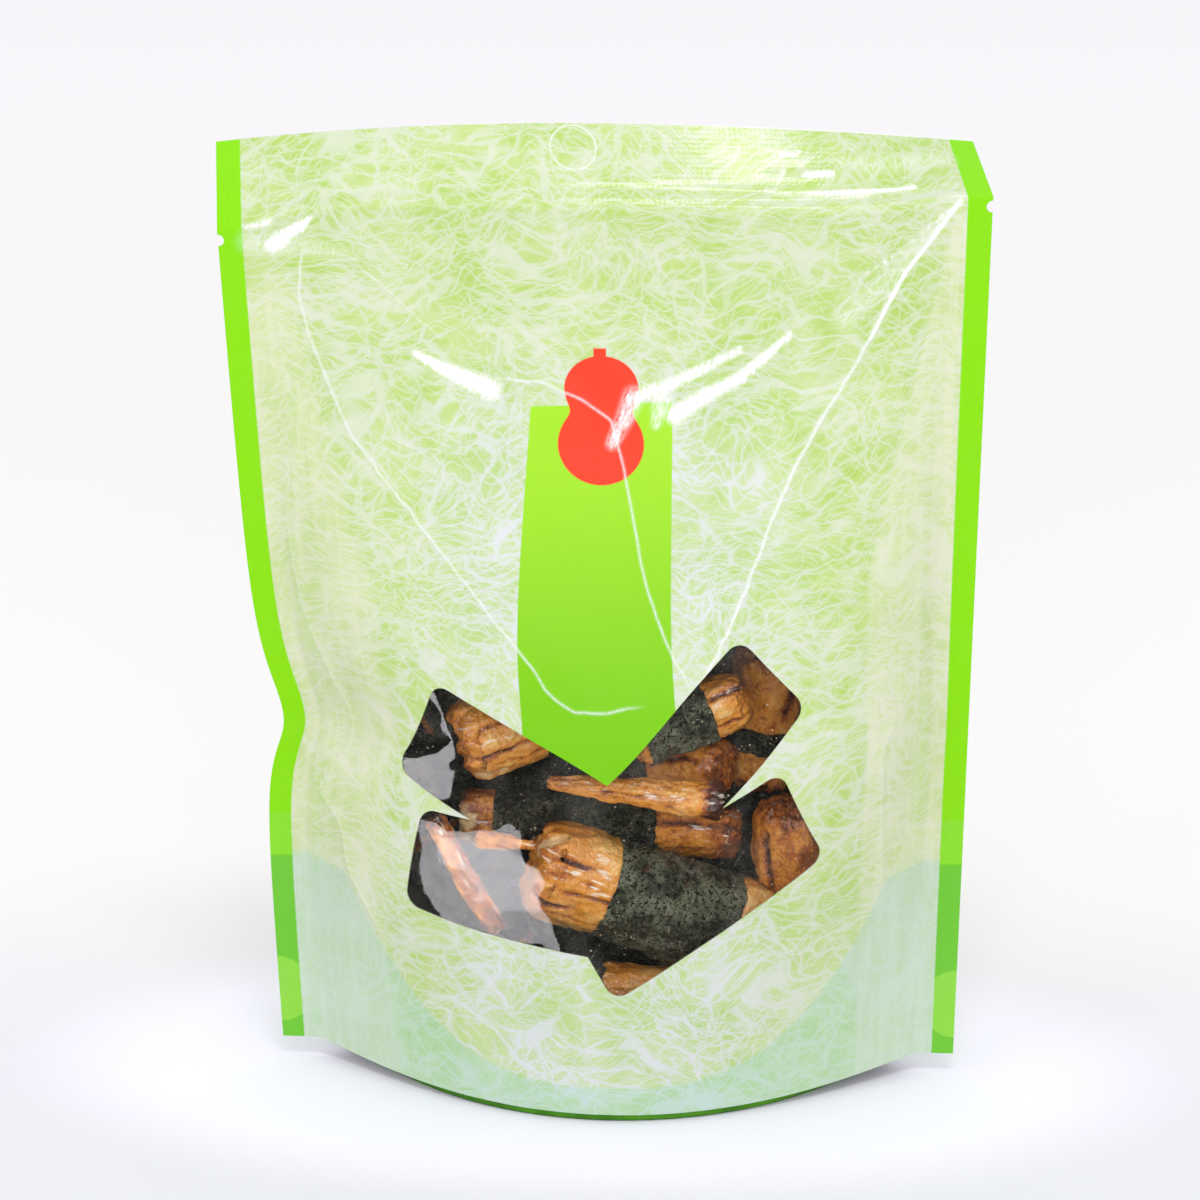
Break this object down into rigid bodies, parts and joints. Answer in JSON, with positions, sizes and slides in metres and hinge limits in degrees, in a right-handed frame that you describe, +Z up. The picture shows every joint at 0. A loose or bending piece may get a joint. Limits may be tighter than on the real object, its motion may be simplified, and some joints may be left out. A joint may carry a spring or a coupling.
{
  "type": "stand-up pouch of seaweed-wrapped rice crackers",
  "caption": "Filled stand-up zip pouch with sealed sides and a lens-shaped base; a clear window cut as crossed bars shows baked rice cracker sticks wrapped in nori.",
  "frame": {"origin": "on the ground, under the middle of the pouch's box", "axes": "+Z up, the pouch's height; the printed front with the window faces -Y; +X to the right of a viewer facing the front"},
  "size_m": [0.148, 0.0668, 0.1895],
  "materials": {
    "film": "glossy laminated film printed pale green with a fibre pattern",
    "pane": "clear glossy film",
    "gusset": "glossy film, dark green",
    "cracker": "baked and glazed puffed rice, golden brown",
    "nori": "dried seaweed sheet, green-black"
  },
  "bodies": {
    "root": {"pouch": "film", "window_pane": "pane", "gusset": "gusset", "cracker_upper_left": "cracker", "cracker_middle_right": "cracker", "cracker_splinter": "cracker", "cracker_upper_right": "cracker", "cracker_tall_right": "cracker", "cracker_long_middle": "cracker", "cracker_chip": "cracker", "cracker_large_front": "cracker", "cracker_right_end": "cracker", "cracker_sliver": "cracker", "cracker_far_left": "cracker", "cracker_low_left": "cracker", "cracker_low_front": "cracker", "nori_upper_left": "nori", "nori_middle_right": "nori", "nori_upper_right": "nori", "nori_tall_right": "nori", "nori_long_middle": "nori", "nori_large_front": "nori", "nori_far_left": "nori", "nori_low_left": "nori", "nori_low_front": "nori"}
  },
  "joints": []
}
